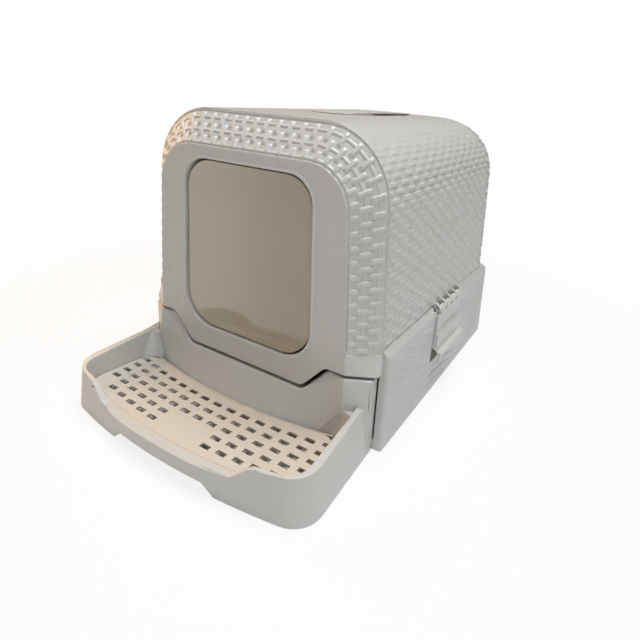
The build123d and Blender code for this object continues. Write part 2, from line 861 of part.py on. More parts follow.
# ---------------------------------------------------------------- side latches and their pins
# Wide snap latches: comb of four knuckles on the hood's lugs, a flat plate, a finger lip
# that stands out at the bottom, and a nose that hooks under the housing's bead.
for side, name in ((1, "right"), (-1, "left")):
    with BuildPart() as latch:
        with BuildSketch(facing(latch_mid_y - latch_half)):
            with BuildLine():
                Polyline(
                    (side * 193.2, 135.5),
                    (side * 197.6, 135.5),
                    (side * 198.9, 108.0),
                    (side * 202.6, 103.0),
                    (side * 204.2, 88.0),
                    (side * 205.6, 82.0),
                    (side * 211.2, 76.5),
                    (side * 211.8, 68.0),
                    (side * 209.2, 67.0),
                    (side * 208.0, 73.5),
                    (side * 202.4, 79.0),
                    (side * 195.6, 84.0),
                    (side * 190.4, 88.0),
                    (side * 190.4, 90.5),
                    (side * 194.8, 91.5),
                    (side * 194.2, 112.0),
                    close=True,
                )
            make_face()
        extrude(amount=-2 * latch_half)
        for step in (-1.5, -0.5, 0.5, 1.5):
            knuckle_front_y = latch_mid_y + step * lug_pitch - 9.0
            with BuildSketch(facing(knuckle_front_y)):
                with BuildLine():
                    Polyline(
                        (side * 193.2, 134.5),
                        (side * 197.6, 134.5),
                        (side * 198.7, latch_axis_z),
                        (side * 190.0, latch_axis_z),
                        close=True,
                    )
                make_face()
                with Locations((side * latch_axis_x, latch_axis_z)):
                    Circle(4.4)
                    Circle(latch_pin_r + bore_play, mode=Mode.SUBTRACT)
            extrude(amount=-18.0)
    latch.part.label = "latch_" + name
    export_step(latch.part, "parts/latch_" + name + ".step")
    with BuildPart() as latch_pin:
        with BuildSketch(facing(latch_mid_y - 2 * lug_pitch - lug_width / 2)):
            with Locations((side * latch_axis_x, latch_axis_z)):
                Circle(latch_pin_r)
        extrude(amount=-(4 * lug_pitch + lug_width))
        chamfer(latch_pin.edges().filter_by(GeomType.CIRCLE), 0.3)
    latch_pin.part.label = "latch_pin_" + name
    export_step(latch_pin.part, "parts/latch_pin_" + name + ".step")

# ---------------------------------------------------------------- carry handle and its pins
# Low bow along the roof over the finger dish. Each end has a flat foot that passes down
# through the roof, and a cross pin through the foot stops it from pulling out.
with BuildPart() as carry_handle:
    low_front = roof_z(handle_mid_y - handle_half_length) + 0.4
    low_rear = roof_z(handle_mid_y + handle_half_length) + 0.4
    low_middle = roof_z(handle_mid_y) + handle_proud
    front_end = panel_y + handle_mid_y - handle_half_length
    rear_end = panel_y + handle_mid_y + handle_half_length
    with BuildSketch(sideways(-handle_half_width)):
        with BuildLine():
            ThreePointArc(
                (front_end, low_front), (panel_y + handle_mid_y, low_middle), (rear_end, low_rear)
            )
            Line((rear_end, low_rear), (rear_end, low_rear + 1.2))
            ThreePointArc(
                (rear_end, low_rear + 1.2),
                (panel_y + handle_mid_y, low_middle + handle_thick),
                (front_end, low_front + 1.2),
            )
            Line((front_end, low_front + 1.2), (front_end, low_front))
        make_face()
    extrude(amount=2 * handle_half_width)
    corners = carry_handle.edges().filter_by(Axis.Z)
    fillet(corners, 12)
    for end, low in ((-1, low_front), (1, low_rear)):
        with BuildSketch(Plane.XY.offset(low - foot_length)):
            with Locations((0, panel_y + handle_mid_y + end * (handle_half_length - 6))):
                Rectangle(2 * handle_foot_half, handle_foot_thick)
        extrude(amount=foot_length + 0.6)
        pin_spot = (panel_y + handle_mid_y + end * (handle_half_length - 6), low - foot_length + 3.5)
        with BuildSketch(sideways(-handle_foot_half - 1)):
            with Locations(pin_spot):
                Circle(handle_pin_r + 0.02)
        extrude(amount=2 * handle_foot_half + 2, mode=Mode.SUBTRACT)
carry_handle.part.label = "carry_handle"
export_step(carry_handle.part, "parts/carry_handle.step")

for end, low, name in ((-1, low_front, "front"), (1, low_rear, "rear")):
    pin_spot = (panel_y + handle_mid_y + end * (handle_half_length - 6), low - foot_length + 3.5)
    with BuildPart() as handle_pin:
        with BuildSketch(sideways(-handle_foot_half - 4)):
            with Locations(pin_spot):
                Circle(handle_pin_r)
        extrude(amount=2 * handle_foot_half + 8)
        chamfer(handle_pin.edges().filter_by(GeomType.CIRCLE), 0.4)
    handle_pin.part.label = "handle_pin_" + name
    export_step(handle_pin.part, "parts/handle_pin_" + name + ".step")
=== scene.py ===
from math import atan, cos, hypot, pi, radians, sin, tan

import bmesh
import bpy
from mathutils import Matrix, Vector


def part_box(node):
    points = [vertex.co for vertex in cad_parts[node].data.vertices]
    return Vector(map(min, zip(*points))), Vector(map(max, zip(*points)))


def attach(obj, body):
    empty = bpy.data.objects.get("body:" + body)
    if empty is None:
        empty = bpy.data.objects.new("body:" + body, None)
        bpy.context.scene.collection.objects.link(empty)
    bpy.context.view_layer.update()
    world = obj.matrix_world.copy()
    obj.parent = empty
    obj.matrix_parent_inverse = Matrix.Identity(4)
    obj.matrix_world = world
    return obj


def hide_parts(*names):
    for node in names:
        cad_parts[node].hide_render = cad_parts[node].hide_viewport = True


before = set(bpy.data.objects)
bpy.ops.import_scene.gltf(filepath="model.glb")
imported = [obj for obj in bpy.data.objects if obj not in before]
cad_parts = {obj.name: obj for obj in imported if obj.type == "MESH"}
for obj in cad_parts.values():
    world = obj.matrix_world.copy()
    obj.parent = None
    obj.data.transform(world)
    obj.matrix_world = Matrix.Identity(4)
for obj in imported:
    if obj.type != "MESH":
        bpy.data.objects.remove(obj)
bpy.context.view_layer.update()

# ---- Lower housing: open-fronted box of pale plastic, about 3 mm thick, with a sloped shoulder
# under the hood and a latch pocket in each side. It is one moulding; low ripples run along
# its sides, and every edge is a small moulded radius.
mm = 0.001
door_rim_proud = 1.4
panel_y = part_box("front_panel")[0].y / mm + door_rim_proud
smooth_angle = radians(32)


def spot(x, y, z):
    """A place in millimetres, with y counted backwards from the front panel's face."""
    return Vector((x, y + panel_y, z)) * mm


class Wire:
    """A socket in a node tree. Sums and products of wires and numbers add Math nodes."""

    def __init__(self, tree, socket=None):
        self.tree = tree
        self.socket = socket

    def node(self, kind, settings, sockets, output=0):
        made = self.tree.nodes.new(kind)
        for name, value in settings.items():
            setattr(made, name, value)
        for name, value in sockets.items():
            if isinstance(value, Wire):
                self.tree.links.new(value.socket, made.inputs[name])
            else:
                made.inputs[name].default_value = value
        return Wire(self.tree, made.outputs[output])

    def maths(self, operation, first, second=0.0):
        return self.node("ShaderNodeMath", {"operation": operation}, {0: first, 1: second})

    def __add__(self, other):
        return self.maths("ADD", self, other)

    def __sub__(self, other):
        return self.maths("SUBTRACT", self, other)

    def __mul__(self, other):
        return self.maths("MULTIPLY", self, other)

    def __pow__(self, other):
        return self.maths("POWER", self, other)

    def __rsub__(self, other):
        return self.maths("SUBTRACT", other, self)

    def __rpow__(self, other):
        return self.maths("POWER", other, self)

    __radd__ = __add__
    __rmul__ = __mul__


warm_shade = (0.97, 0.965, 0.95)


def moulded_plastic(name, colour, roughness, tint=warm_shade, grain=0.00004):
    """Satin moulded plastic: faint clouding in its colour, uneven gloss and a fine grain."""
    material = bpy.data.materials.new(name)
    material.use_nodes = True
    tree = material.node_tree
    shader = tree.nodes["Principled BSDF"]
    place = Wire(tree).node("ShaderNodeTexCoord", {}, {}, "Object")
    cloud = place.node(
        "ShaderNodeTexNoise", {}, {"Vector": place, "Scale": 14.0, "Detail": 3.0, "Roughness": 0.55}
    )
    flow = place.node(
        "ShaderNodeTexNoise", {}, {"Vector": place, "Scale": 60.0, "Detail": 2.0, "Distortion": 0.6}
    )
    fine = place.node(
        "ShaderNodeTexNoise", {}, {"Vector": place, "Scale": 1400.0, "Detail": 2.0, "Roughness": 0.6}
    )
    deep = tuple(part * shade for part, shade in zip(colour, tint)) + (1.0,)
    shade = place.node(
        "ShaderNodeMix",
        {"data_type": "RGBA"},
        {"Factor": cloud * 1.6 - 0.3, 6: tuple(colour) + (1.0,), 7: deep},
        2,
    )
    bump = place.node(
        "ShaderNodeBump", {}, {"Height": fine + flow * 0.5, "Strength": 0.5, "Distance": grain}
    )
    rough = roughness + (cloud - 0.5) * 0.12 + (flow - 0.5) * 0.08
    tree.links.new(shade.socket, shader.inputs["Base Color"])
    tree.links.new(rough.socket, shader.inputs["Roughness"])
    tree.links.new(bump.socket, shader.inputs["Normal"])
    shader.inputs["IOR"].default_value = 1.49
    return material


def moulded_copy(node, name, width, rule, carve=None):
    """A merged copy of a CAD node whose sharp edges get a moulded radius of width x rule."""
    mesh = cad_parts[node].data.copy()
    mesh.name = name
    work = bmesh.new()
    work.from_mesh(mesh)
    bmesh.ops.remove_doubles(work, verts=work.verts, dist=2e-6)
    if carve:
        carve(work)
    weights = work.edges.layers.float.new("bevel_weight_edge")
    for edge in work.edges:
        turn = edge.calc_face_angle(0.0) if len(edge.link_faces) == 2 else 0.0
        edge.smooth = turn < smooth_angle
        if turn > smooth_angle:
            middle = (edge.verts[0].co + edge.verts[1].co) / (2 * mm)
            edge[weights] = rule(middle.x, middle.y - panel_y, middle.z)
    for face in work.faces:
        face.smooth = True
    work.to_mesh(mesh)
    work.free()
    piece = bpy.data.objects.new(name, mesh)
    bpy.context.scene.collection.objects.link(piece)
    radius = piece.modifiers.new("edge radius", "BEVEL")
    radius.limit_method = "WEIGHT"
    radius.width = width * mm
    radius.segments = 3
    radius.use_clamp_overlap = False
    radius.miter_outer = "MITER_SHARP"
    shading = piece.modifiers.new("even shading", "WEIGHTED_NORMAL")
    shading.keep_sharp = True
    return piece


def fit(piece, body, slot_name, material, *nodes):
    """The piece gets its plastic, rides on its body and stands for its CAD nodes."""
    piece.data.materials.clear()
    piece.data.materials.append(material)
    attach(piece, body)
    if nodes:
        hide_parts(*nodes)


def along(lines, name):
    """Thin chains of vertices and edges, one through each line of points, for a tree to dress."""
    chain = bpy.data.meshes.new(name)
    vertices = [point for line in lines for point in line]
    edges = []
    start = 0
    for line in lines:
        edges += [(start + k, start + k + 1) for k in range(len(line) - 1)]
        start += len(line)
    chain.from_pydata(vertices, edges, [])
    return chain


def rod_tree():
    """Rods along a chain of edges, part sunk in the wall: Radius, Sides, Plastic."""
    tree = bpy.data.node_groups.new("moulded rods", "GeometryNodeTree")
    face = tree.interface
    face.new_socket("Geometry", in_out="INPUT", socket_type="NodeSocketGeometry")
    face.new_socket("Radius", in_out="INPUT", socket_type="NodeSocketFloat")
    face.new_socket("Sides", in_out="INPUT", socket_type="NodeSocketInt")
    face.new_socket("Plastic", in_out="INPUT", socket_type="NodeSocketMaterial")
    face.new_socket("Geometry", in_out="OUTPUT", socket_type="NodeSocketGeometry")
    given = tree.nodes.new("NodeGroupInput")
    chain, radius, sides, plastic = (Wire(tree, given.outputs[k]) for k in range(4))
    curve = chain.node("GeometryNodeMeshToCurve", {}, {"Mesh": chain})
    round_section = chain.node(
        "GeometryNodeCurvePrimitiveCircle", {}, {"Resolution": sides, "Radius": radius}
    )
    rods = chain.node(
        "GeometryNodeCurveToMesh", {}, {"Curve": curve, "Profile Curve": round_section, "Fill Caps": True}
    )
    real = chain.node("GeometryNodeRealizeInstances", {}, {"Geometry": rods})
    smooth = chain.node("GeometryNodeSetShadeSmooth", {}, {"Geometry": real, "Shade Smooth": True})
    done = chain.node("GeometryNodeSetMaterial", {}, {"Geometry": smooth, "Material": plastic})
    out = tree.nodes.new("NodeGroupOutput")
    tree.links.new(done.socket, out.inputs[0])
    return tree


def grown(name, seed_mesh, tree, values):
    """A plain mesh object grown by a node tree from its seed mesh, with the tree's inputs set."""
    seed = bpy.data.objects.new(name + " seed", seed_mesh)
    bpy.context.scene.collection.objects.link(seed)
    growth = seed.modifiers.new("growth", "NODES")
    growth.node_group = tree
    for socket in tree.interface.items_tree:
        if socket.in_out == "INPUT" and socket.name in values:
            growth[socket.identifier] = values[socket.name]
    bpy.context.view_layer.update()
    graph = bpy.context.evaluated_depsgraph_get()
    mesh = bpy.data.meshes.new_from_object(seed.evaluated_get(graph))
    mesh.name = name
    bpy.data.objects.remove(seed)
    piece = bpy.data.objects.new(name, mesh)
    bpy.context.scene.collection.objects.link(piece)
    return piece


housing_plastic = moulded_plastic("pale housing plastic", (0.62, 0.61, 0.585), 0.38)
housing_floor_half = 201.7
housing_flare = 0.0496
housing_foot_z = 3.0
shoulder_low_z = 130.0


def housing_radius(x, y, z):
    """Full radius on the foot and along the sloped shoulder, half of it elsewhere."""
    return 1.0 if z < housing_foot_z or z > shoulder_low_z else 0.5


housing = moulded_copy("base_shell", "lower_housing", 1.2, housing_radius)
fit(housing, "base", "housing_plastic", housing_plastic, "base_shell")

ripple_rows = range(-2, 14)
ripple_pitch = 14.0
ripple_first_z = 24.0
ripple_first_y = 40.0
ripple_fall = 0.2
ripple_wave = 5.0
ripple_wave_length = 34.0
ripple_proud = 1.0
ripple_radius = 3.2
ripple_run_out = 14.0
ripple_step = 4.6
ripple_steps = 95
slope_run = 3.0
side_front_y = 38.0
side_rear_y = 470.0
side_low_z = 8.0
side_high_z = 128.0
pocket_middle_y = 250.0
pocket_half = 62.0
pocket_foot_z = 54.0


def ripple_line(side, row):
    """One ripple's stretches along a side. It sinks into the wall at its ends and at the pocket."""
    stretches = [[]]
    for step in range(ripple_steps):
        y = side_front_y + ripple_step * step
        wave = ripple_wave * sin(y / ripple_wave_length)
        z = ripple_first_z + ripple_pitch * row - ripple_fall * (y - ripple_first_y) + wave
        beside_pocket = max(abs(y - pocket_middle_y) - pocket_half, pocket_foot_z - z)
        along_side = min(y - side_front_y + 0.1, side_rear_y - y)
        off_edges = slope_run * min(z - side_low_z, side_high_z - z)
        room = min(along_side, beside_pocket, off_edges)
        if room > 0:
            face_x = housing_floor_half - housing_flare * z
            proud = ripple_proud * min(1.0, room / ripple_run_out)
            stretches[-1].append(spot(side * (face_x - ripple_radius + proud), y, z))
        else:
            stretches.append([])
    return [stretch for stretch in stretches if len(stretch) > 1]


rods = rod_tree()
for side in (-1, 1):
    lines = []
    for row in ripple_rows:
        lines += ripple_line(side, row)
    ripples = grown(
        "housing_ripples_" + ("right" if side > 0 else "left"),
        along(lines, "ripple lines"),
        rods,
        {"Radius": ripple_radius * mm, "Sides": 8, "Plastic": housing_plastic},
    )
    fit(ripples, "base", "housing_plastic", housing_plastic)

# ---- Hood: deep lift-off moulding of the same plastic. Straight drafted walls carry a woven
# relief of short strips over thin rods, which fades out on the domed shoulder; the roof is
# smooth, with a finger dish under the handle.
hood_plastic = moulded_plastic("pale hood plastic", (0.65, 0.64, 0.61), 0.3)
draft = 0.093
ref_z = 207.0
parting_z = 144.6
hood_half_ref = 180.0
hood_rear_y = 486.5
hood_front_y = 30.5
hood_corner = 46.0
shoulder_r = 88.0
rear_shoulder_r = 44.0
roof_z = 384.0
roof_rise = radians(0.9)
row_pitch = 8.1
column_pitch = 15.75


def hood_radius(x, y, z):
    """Full radius everywhere but on the front edge, which meets the front panel closely."""
    return 0.4 if y < hood_front_y + 1.0 else 1.0


hood = moulded_copy("hood_shell", "hood_visual", 0.9, hood_radius)
fit(hood, "hood", "hood_plastic", hood_plastic, "hood_shell")


def hood_spot(up, round_the_side):
    """A point of the hood's skin: up the wall and dome, then back along one side and the rear."""
    centre_z = roof_z - shoulder_r
    wall_top = centre_z + shoulder_r * sin(draft)
    z = parting_z + up
    turn = draft
    if z > wall_top:
        turn = draft + (z - wall_top) / shoulder_r
        z = centre_z + shoulder_r * sin(turn)
        centre_x = hood_half_ref - draft * (centre_z - ref_z) - shoulder_r / cos(draft)
        half = centre_x + shoulder_r * cos(turn)
        rear = hood_rear_y - draft * (centre_z - parting_z) - rear_shoulder_r / cos(draft)
        rear += rear_shoulder_r * cos(turn)
    else:
        half = hood_half_ref - draft * (z - ref_z)
        rear = hood_rear_y - draft * (z - parting_z)
    corner = hood_corner
    straight = rear - corner - hood_front_y
    bend = corner * pi / 2
    if round_the_side < straight:
        x, y = half, hood_front_y + round_the_side
        across, level = Vector((0, 1, 0)), Vector((1, 0, 0))
    elif round_the_side < straight + bend:
        angle = (round_the_side - straight) / corner
        x = half - corner + corner * cos(angle)
        y = rear - corner + corner * sin(angle)
        across, level = Vector((-sin(angle), cos(angle), 0)), Vector((cos(angle), sin(angle), 0))
    else:
        x, y = half - corner - (round_the_side - straight - bend), rear
        across, level = Vector((-1, 0, 0)), Vector((0, 1, 0))
    z += (y - hood_front_y) * tan(roof_rise) * (z - parting_z) / (roof_z - parting_z)
    out = (level * cos(turn) + Vector((0, 0, 1)) * sin(turn)).normalized()
    return spot(x, y, z), across, out, x


def strip_tree():
    """Short woven strips laid over the rods, one on each anchor: Length, Width, Height, Plastic.

    An anchor's span shortens its strip, and its proud flattens it.
    """
    tree = bpy.data.node_groups.new("woven strips", "GeometryNodeTree")
    face = tree.interface
    face.new_socket("Geometry", in_out="INPUT", socket_type="NodeSocketGeometry")
    for size in ("Length", "Width", "Height"):
        face.new_socket(size, in_out="INPUT", socket_type="NodeSocketFloat")
    face.new_socket("Plastic", in_out="INPUT", socket_type="NodeSocketMaterial")
    face.new_socket("Geometry", in_out="OUTPUT", socket_type="NodeSocketGeometry")
    given = tree.nodes.new("NodeGroupInput")
    anchors, length, width, height, plastic = (Wire(tree, given.outputs[k]) for k in range(5))
    sheet = anchors.node(
        "GeometryNodeMeshGrid", {}, {"Size X": 1.0, "Size Y": 1.0, "Vertices X": 8, "Vertices Y": 7}
    )
    place = anchors.node("GeometryNodeInputPosition", {}, {})
    parts = tree.nodes.new("ShaderNodeSeparateXYZ")
    tree.links.new(place.socket, parts.inputs[0])
    x, y = Wire(tree, parts.outputs[0]), Wire(tree, parts.outputs[1])
    end_fall = (x * 2.0) ** 6.0
    side_fall = (y * 2.0) ** 4.0
    crown = (1.0 - end_fall) * (1.0 - side_fall) * 1.5 - 0.5
    shaped = x.node("ShaderNodeCombineXYZ", {}, {0: x * length, 1: y * width, 2: crown * height})
    strip = anchors.node("GeometryNodeSetPosition", {}, {"Geometry": sheet, "Position": shaped})
    across = anchors.node(
        "GeometryNodeInputNamedAttribute", {"data_type": "FLOAT_VECTOR"}, {"Name": "across"}
    )
    out = anchors.node("GeometryNodeInputNamedAttribute", {"data_type": "FLOAT_VECTOR"}, {"Name": "out"})
    proud = anchors.node("GeometryNodeInputNamedAttribute", {"data_type": "FLOAT"}, {"Name": "proud"})
    span = anchors.node("GeometryNodeInputNamedAttribute", {"data_type": "FLOAT"}, {"Name": "span"})
    turn = anchors.node(
        "FunctionNodeAxesToRotation",
        {"primary_axis": "Z", "secondary_axis": "X"},
        {"Primary Axis": out, "Secondary Axis": across},
    )
    size = anchors.node("ShaderNodeCombineXYZ", {}, {0: span, 1: 1.0, 2: proud})
    laid = anchors.node(
        "GeometryNodeInstanceOnPoints",
        {},
        {"Points": anchors, "Instance": strip, "Rotation": turn, "Scale": size},
    )
    real = anchors.node("GeometryNodeRealizeInstances", {}, {"Geometry": laid})
    smooth = anchors.node("GeometryNodeSetShadeSmooth", {}, {"Geometry": real, "Shade Smooth": True})
    done = anchors.node("GeometryNodeSetMaterial", {}, {"Geometry": smooth, "Material": plastic})
    end = tree.nodes.new("NodeGroupOutput")
    tree.links.new(done.socket, end.inputs[0])
    return tree


def anchor_mesh(anchors, name):
    """Loose points with the strip's direction, the way out of the wall, its height and its span."""
    mesh = bpy.data.meshes.new(name)
    mesh.from_pydata([anchor[0] for anchor in anchors], [], [])
    for label, kind, column in (("across", "FLOAT_VECTOR", 1), ("out", "FLOAT_VECTOR", 2)):
        store = mesh.attributes.new(label, kind, "POINT")
        store.data.foreach_set("vector", [part for anchor in anchors for part in anchor[column]])
    for label, column in (("proud", 3), ("span", 4)):
        store = mesh.attributes.new(label, "FLOAT", "POINT")
        store.data.foreach_set("value", [anchor[column] for anchor in anchors])
    return mesh


strips = strip_tree()
weave_low_up = 6.0
weave_front = 11.9
edge_strip_front = 4.1
edge_strip_span = 0.31
weave_rows = 30
weave_fade_row = 20
weave_columns = 44
least_height = 0.05
hood_rod_radius = 1.8
hood_rod_proud = 0.5
hood_rod_sunk = 0.3
for side in (-1, 1):
    mirror = Vector((side, 1, 1))
    anchors = []
    rod_lines = []
    for column in range(weave_columns):
        rod_line = []
        for row in range(weave_rows):
            up = weave_low_up + row_pitch * row
            place, across, out, x = hood_spot(up, weave_front + column_pitch * column)
            if x < -column_pitch * 0.1:
                continue
            fade = min(1.0, max(0.0, (weave_rows - row) / (weave_rows - weave_fade_row)))
            sunk = (hood_rod_radius - hood_rod_proud * fade + hood_rod_sunk * (1.0 - fade)) * mm
            rod_line.append((place - out * sunk) * mirror)
            rod_on_top = (row + column) % 2 == 1
            if rod_on_top and column > 0:
                continue
            span = 1.0
            if rod_on_top:
                place, across, out, x = hood_spot(up, edge_strip_front)
                span = edge_strip_span
            height = max(fade, least_height)
            anchors.append((place * mirror, across * mirror, out * mirror, height, span))
        if len(rod_line) > 1:
            rod_lines.append(rod_line)
    wall = "right" if side > 0 else "left"
    weave = grown(
        "hood_strips_" + wall,
        anchor_mesh(anchors, "strip anchors"),
        strips,
        {"Length": 0.0225, "Width": 0.0064, "Height": 0.0016, "Plastic": hood_plastic},
    )
    fit(weave, "hood", "hood_plastic", hood_plastic)
    uprights = grown(
        "hood_rods_" + wall,
        along(rod_lines, "rod lines"),
        rods,
        {"Radius": hood_rod_radius * mm, "Sides": 8, "Plastic": hood_plastic},
    )
    fit(uprights, "hood", "hood_plastic", hood_plastic)

# ---- Front panel: smooth frame with a raised rim round the doorway, and a bevelled band
# behind it that carries the coarsest weave: three rods, and strips laid over them in turn.
# It is a separate moulding clipped into the hood's front edge.
band_inner = (145.0, 343.3, 52.5, 0.0)
band_outer = (180.0, 383.0, 86.0, 30.5)
band_low_z = 139.0
band_border = 0.9
band_bank = 1.0
band_depth = 1.4
band_slopes = (0.5, 0.9)
edge_play = 0.05


def sink_band(work):
    """Sinks the bevelled band below its border, so that the weave lies in a shallow tray."""
    everything = work.verts[:] + work.edges[:] + work.faces[:]
    tray_low_z = band_low_z - 2.0
    cut = Vector((0, 0, tray_low_z * mm))
    bmesh.ops.bisect_plane(work, geom=everything, dist=1e-6, plane_co=cut, plane_no=Vector((0, 0, 1)))
    band = []
    for face in work.faces:
        middle = face.calc_center_median() / mm
        y = middle.y - panel_y
        between = edge_play < y < hood_front_y - edge_play and middle.z > tray_low_z
        sloped = band_slopes[0] < -face.normal.y < band_slopes[1]
        outward = face.normal.x * middle.x >= -0.001 and face.normal.z > -0.2
        if between and sloped and outward:
            band.append(face)
    bmesh.ops.inset_region(work, faces=band, thickness=band_border * mm, use_even_offset=True)
    bmesh.ops.inset_region(
        work, faces=band, thickness=band_bank * mm, depth=-band_depth * mm, use_even_offset=False
    )


frame_corner_x = 84.5
frame_corner_z = 290.8
rim_reach = 46.0
rim_foot_half = 112.0
rim_foot_z = 100.0
rim_side_z = 150.0


def panel_radius(x, y, z):
    """Full radius on frame and rim, little at the rim's foot and the hood, none in the tray's ends."""
    if y < 0.5:
        off_door = hypot(max(abs(x) - frame_corner_x, 0.0), max(z - frame_corner_z, 0.0))
        if z > rim_side_z:
            at_rim_foot = off_door < rim_reach
        else:
            at_rim_foot = z > rim_foot_z and abs(x) < rim_foot_half
        return 0.1 if at_rim_foot and y > -0.5 else 1.1
    if z < band_low_z + 6.0 and y < hood_front_y + 0.5:
        return 0.0
    return 0.2 if y > hood_front_y - 3.0 else 0.4


panel = moulded_copy("front_panel", "front_panel_visual", 1.1, panel_radius, sink_band)
fit(panel, "hood", "hood_plastic", hood_plastic, "front_panel")

rod_shares = (0.11, 0.445, 0.79)
strip_places = (((0.185, 0.67), (0.74, 1.0)), ((0.45, 1.0),))
last_station = 3.0
band_steps = 360
station_nudge = 0.02


def arch_spot(outline, station):
    """A point on one edge of the band. Station runs 0-1 up the side, 1-2 round, 2-3 to the middle."""
    half, top, corner, y = outline
    centre_z = top - corner
    centre_x = half - draft * (centre_z - ref_z) - corner * hypot(1, draft)
    lean = atan(draft)
    if station <= 1:
        low = Vector((half - draft * (band_low_z - ref_z), y, band_low_z))
        high = Vector((centre_x + corner * cos(lean), y, centre_z + corner * sin(lean)))
        return low.lerp(high, station)
    if station <= 2:
        angle = lean + (pi / 2 - lean) * (station - 1)
        return Vector((centre_x + corner * cos(angle), y, centre_z + corner * sin(angle)))
    return Vector((centre_x * (3 - station), y, top))


def band_spot(share, station):
    """A point of the band, from its inner edge at share 0 to its outer edge at share 1."""
    return arch_spot(band_inner, station).lerp(arch_spot(band_outer, station), share)


def band_place(share, station):
    """A point of the band, the way across the band and the way out of it."""
    across = (band_spot(1, station) - band_spot(0, station)).normalized()
    ahead = band_spot(share, min(station + station_nudge, last_station))
    behind = band_spot(share, max(station - station_nudge, 0.0))
    return band_spot(share, station), across, across.cross(ahead - behind).normalized()


stations = [last_station * step / band_steps for step in range(band_steps + 1)]
lengths = [0.0]
for before, after in zip(stations, stations[1:]):
    lengths.append(lengths[-1] + (band_spot(0.5, after) - band_spot(0.5, before)).length)


def station_at(length):
    """The station that lies this far along the middle of the band."""
    for place, run in zip(stations, lengths):
        if run >= length:
            return place
    return stations[-1]


band_rod_radius = 3.0
band_rod_proud = -0.2
band_rows = int(lengths[-1] / row_pitch)
band_pitch = lengths[-1] / band_rows
for side in (-1, 1):
    mirror = Vector((side, 1, 1))
    anchors = []
    for row in range(band_rows):
        station = station_at(band_pitch * (row + 0.5))
        for share, span in strip_places[(row + (side > 0)) % 2]:
            place, across, out = band_place(share, station)
            floor_place = spot(*(place - out * band_depth))
            anchors.append((floor_place * mirror, across * mirror, out * mirror, 1.0, span))
    rod_lines = []
    for share in rod_shares:
        line = []
        for station in stations[::4]:
            place, across, out = band_place(share, station)
            line.append(spot(*(place - out * (band_rod_radius - band_rod_proud))) * mirror)
        rod_lines.append(line)
    hand = "right" if side > 0 else "left"
    band_strips = grown(
        "band_strips_" + hand,
        anchor_mesh(anchors, "band anchors"),
        strips,
        {"Length": 0.0215, "Width": 0.0071, "Height": 0.0021, "Plastic": hood_plastic},
    )
    fit(band_strips, "hood", "hood_plastic", hood_plastic)
    band_rods = grown(
        "band_rods_" + hand,
        along(rod_lines, "band rod lines"),
        rods,
        {"Radius": band_rod_radius * mm, "Sides": 10, "Plastic": hood_plastic},
    )
    fit(band_rods, "hood", "hood_plastic", hood_plastic)

# ---- Swing flap: one smoked, see-through sheet with a knuckle at each top corner, hung on
# two side pins a little behind the doorway's rim.
# Painted light and shade on the flap: a lighter colour on its left side and a darker, painted-shade
# colour on its right.
flap_painted_light_colour = (0.55, 0.49, 0.36)
flap_painted_shade_colour = (0.4, 0.34, 0.24)
flap_painted_light_x = -0.09
flap_painted_shade_x = 0.08


def smoked_sheet():
    """Smoked clear sheet: glossy, slightly see-through, with painted light and shade: lighter on the left
    than on the right.
    """
    material = moulded_plastic("smoked flap", flap_painted_light_colour, 0.1, (0.9, 0.9, 0.86), 0.00001)
    tree = material.node_tree
    shader = tree.nodes["Principled BSDF"]
    coordinates = Wire(tree).node("ShaderNodeTexCoord", {}, {}, "Object")
    across = coordinates.node("ShaderNodeSeparateXYZ", {}, {0: coordinates}, "X")
    share = across.node(
        "ShaderNodeMapRange",
        {"interpolation_type": "SMOOTHSTEP"},
        {"Value": across, "From Min": flap_painted_light_x, "From Max": flap_painted_shade_x},
    )
    # Painted light: the flap's colour runs from the painted-light left to the painted-shade right.
    colour = across.node(
        "ShaderNodeMix",
        {"data_type": "RGBA"},
        {"Factor": share, 6: flap_painted_light_colour + (1.0,), 7: flap_painted_shade_colour + (1.0,)},
        2,
    )
    tree.links.new(colour.socket, shader.inputs["Base Color"])
    shader.inputs["Alpha"].default_value = 0.93
    shader.inputs["Coat Weight"].default_value = 1.0
    shader.inputs["IOR"].default_value = 1.65
    return material


def even_radius(x, y, z):
    """The same moulded radius on every edge."""
    return 1.0


smoked = smoked_sheet()
flap = moulded_copy("door_flap", "swing_flap", 0.6, even_radius)
fit(flap, "flap", "smoked_flap", smoked, "door_flap")

# ---- Drawer front: the moulding in front of the pan, with a leaning wall, the flared step,
# its trough and a rounded rim. Four screws hold it to the pan.
drawer_plastic = moulded_plastic("pale drawer plastic", (0.64, 0.63, 0.6), 0.34)
cove_x = 120.0
cove_front_y = -40.0
cove_rear_y = 14.0
cove_top_z = 68.5
lip_low_z = 33.5
lip_high_z = 38.5
lip_half = 108.0
lip_run_out_x = 60.0
lip_end_x = 101.3
lip_rear_y = -143.0
skirt_middle_y = -152.9
skirt_bow_r = 642.0
rim_bend_x = (95.0, 140.0)
rim_bend_y = -110.0
rim_rear_y = -20.0
rim_low_z = 30.0
wall_lip_y = (-15.0, 25.0)
wall_lip_z = 60.0


def drawer_radius(x, y, z):
    """Full radius on the wall's top lip, less on the step's rim, none in coves and under the lip."""
    if abs(x) > cove_x and cove_front_y < y < cove_rear_y and z < cove_top_z:
        return 0.0
    if abs(x) < lip_half + 4.0 and y < lip_rear_y + 3.0 and lip_low_z - 1.0 < z < lip_high_z - 0.3:
        return 0.0
    if rim_bend_x[0] < abs(x) < rim_bend_x[1] and y < rim_bend_y and z > lip_high_z - 0.5:
        return 0.3
    if z > wall_lip_z and wall_lip_y[0] < y < wall_lip_y[1]:
        return 1.0
    if y < rim_rear_y and z > rim_low_z:
        return 0.5
    return 0.25


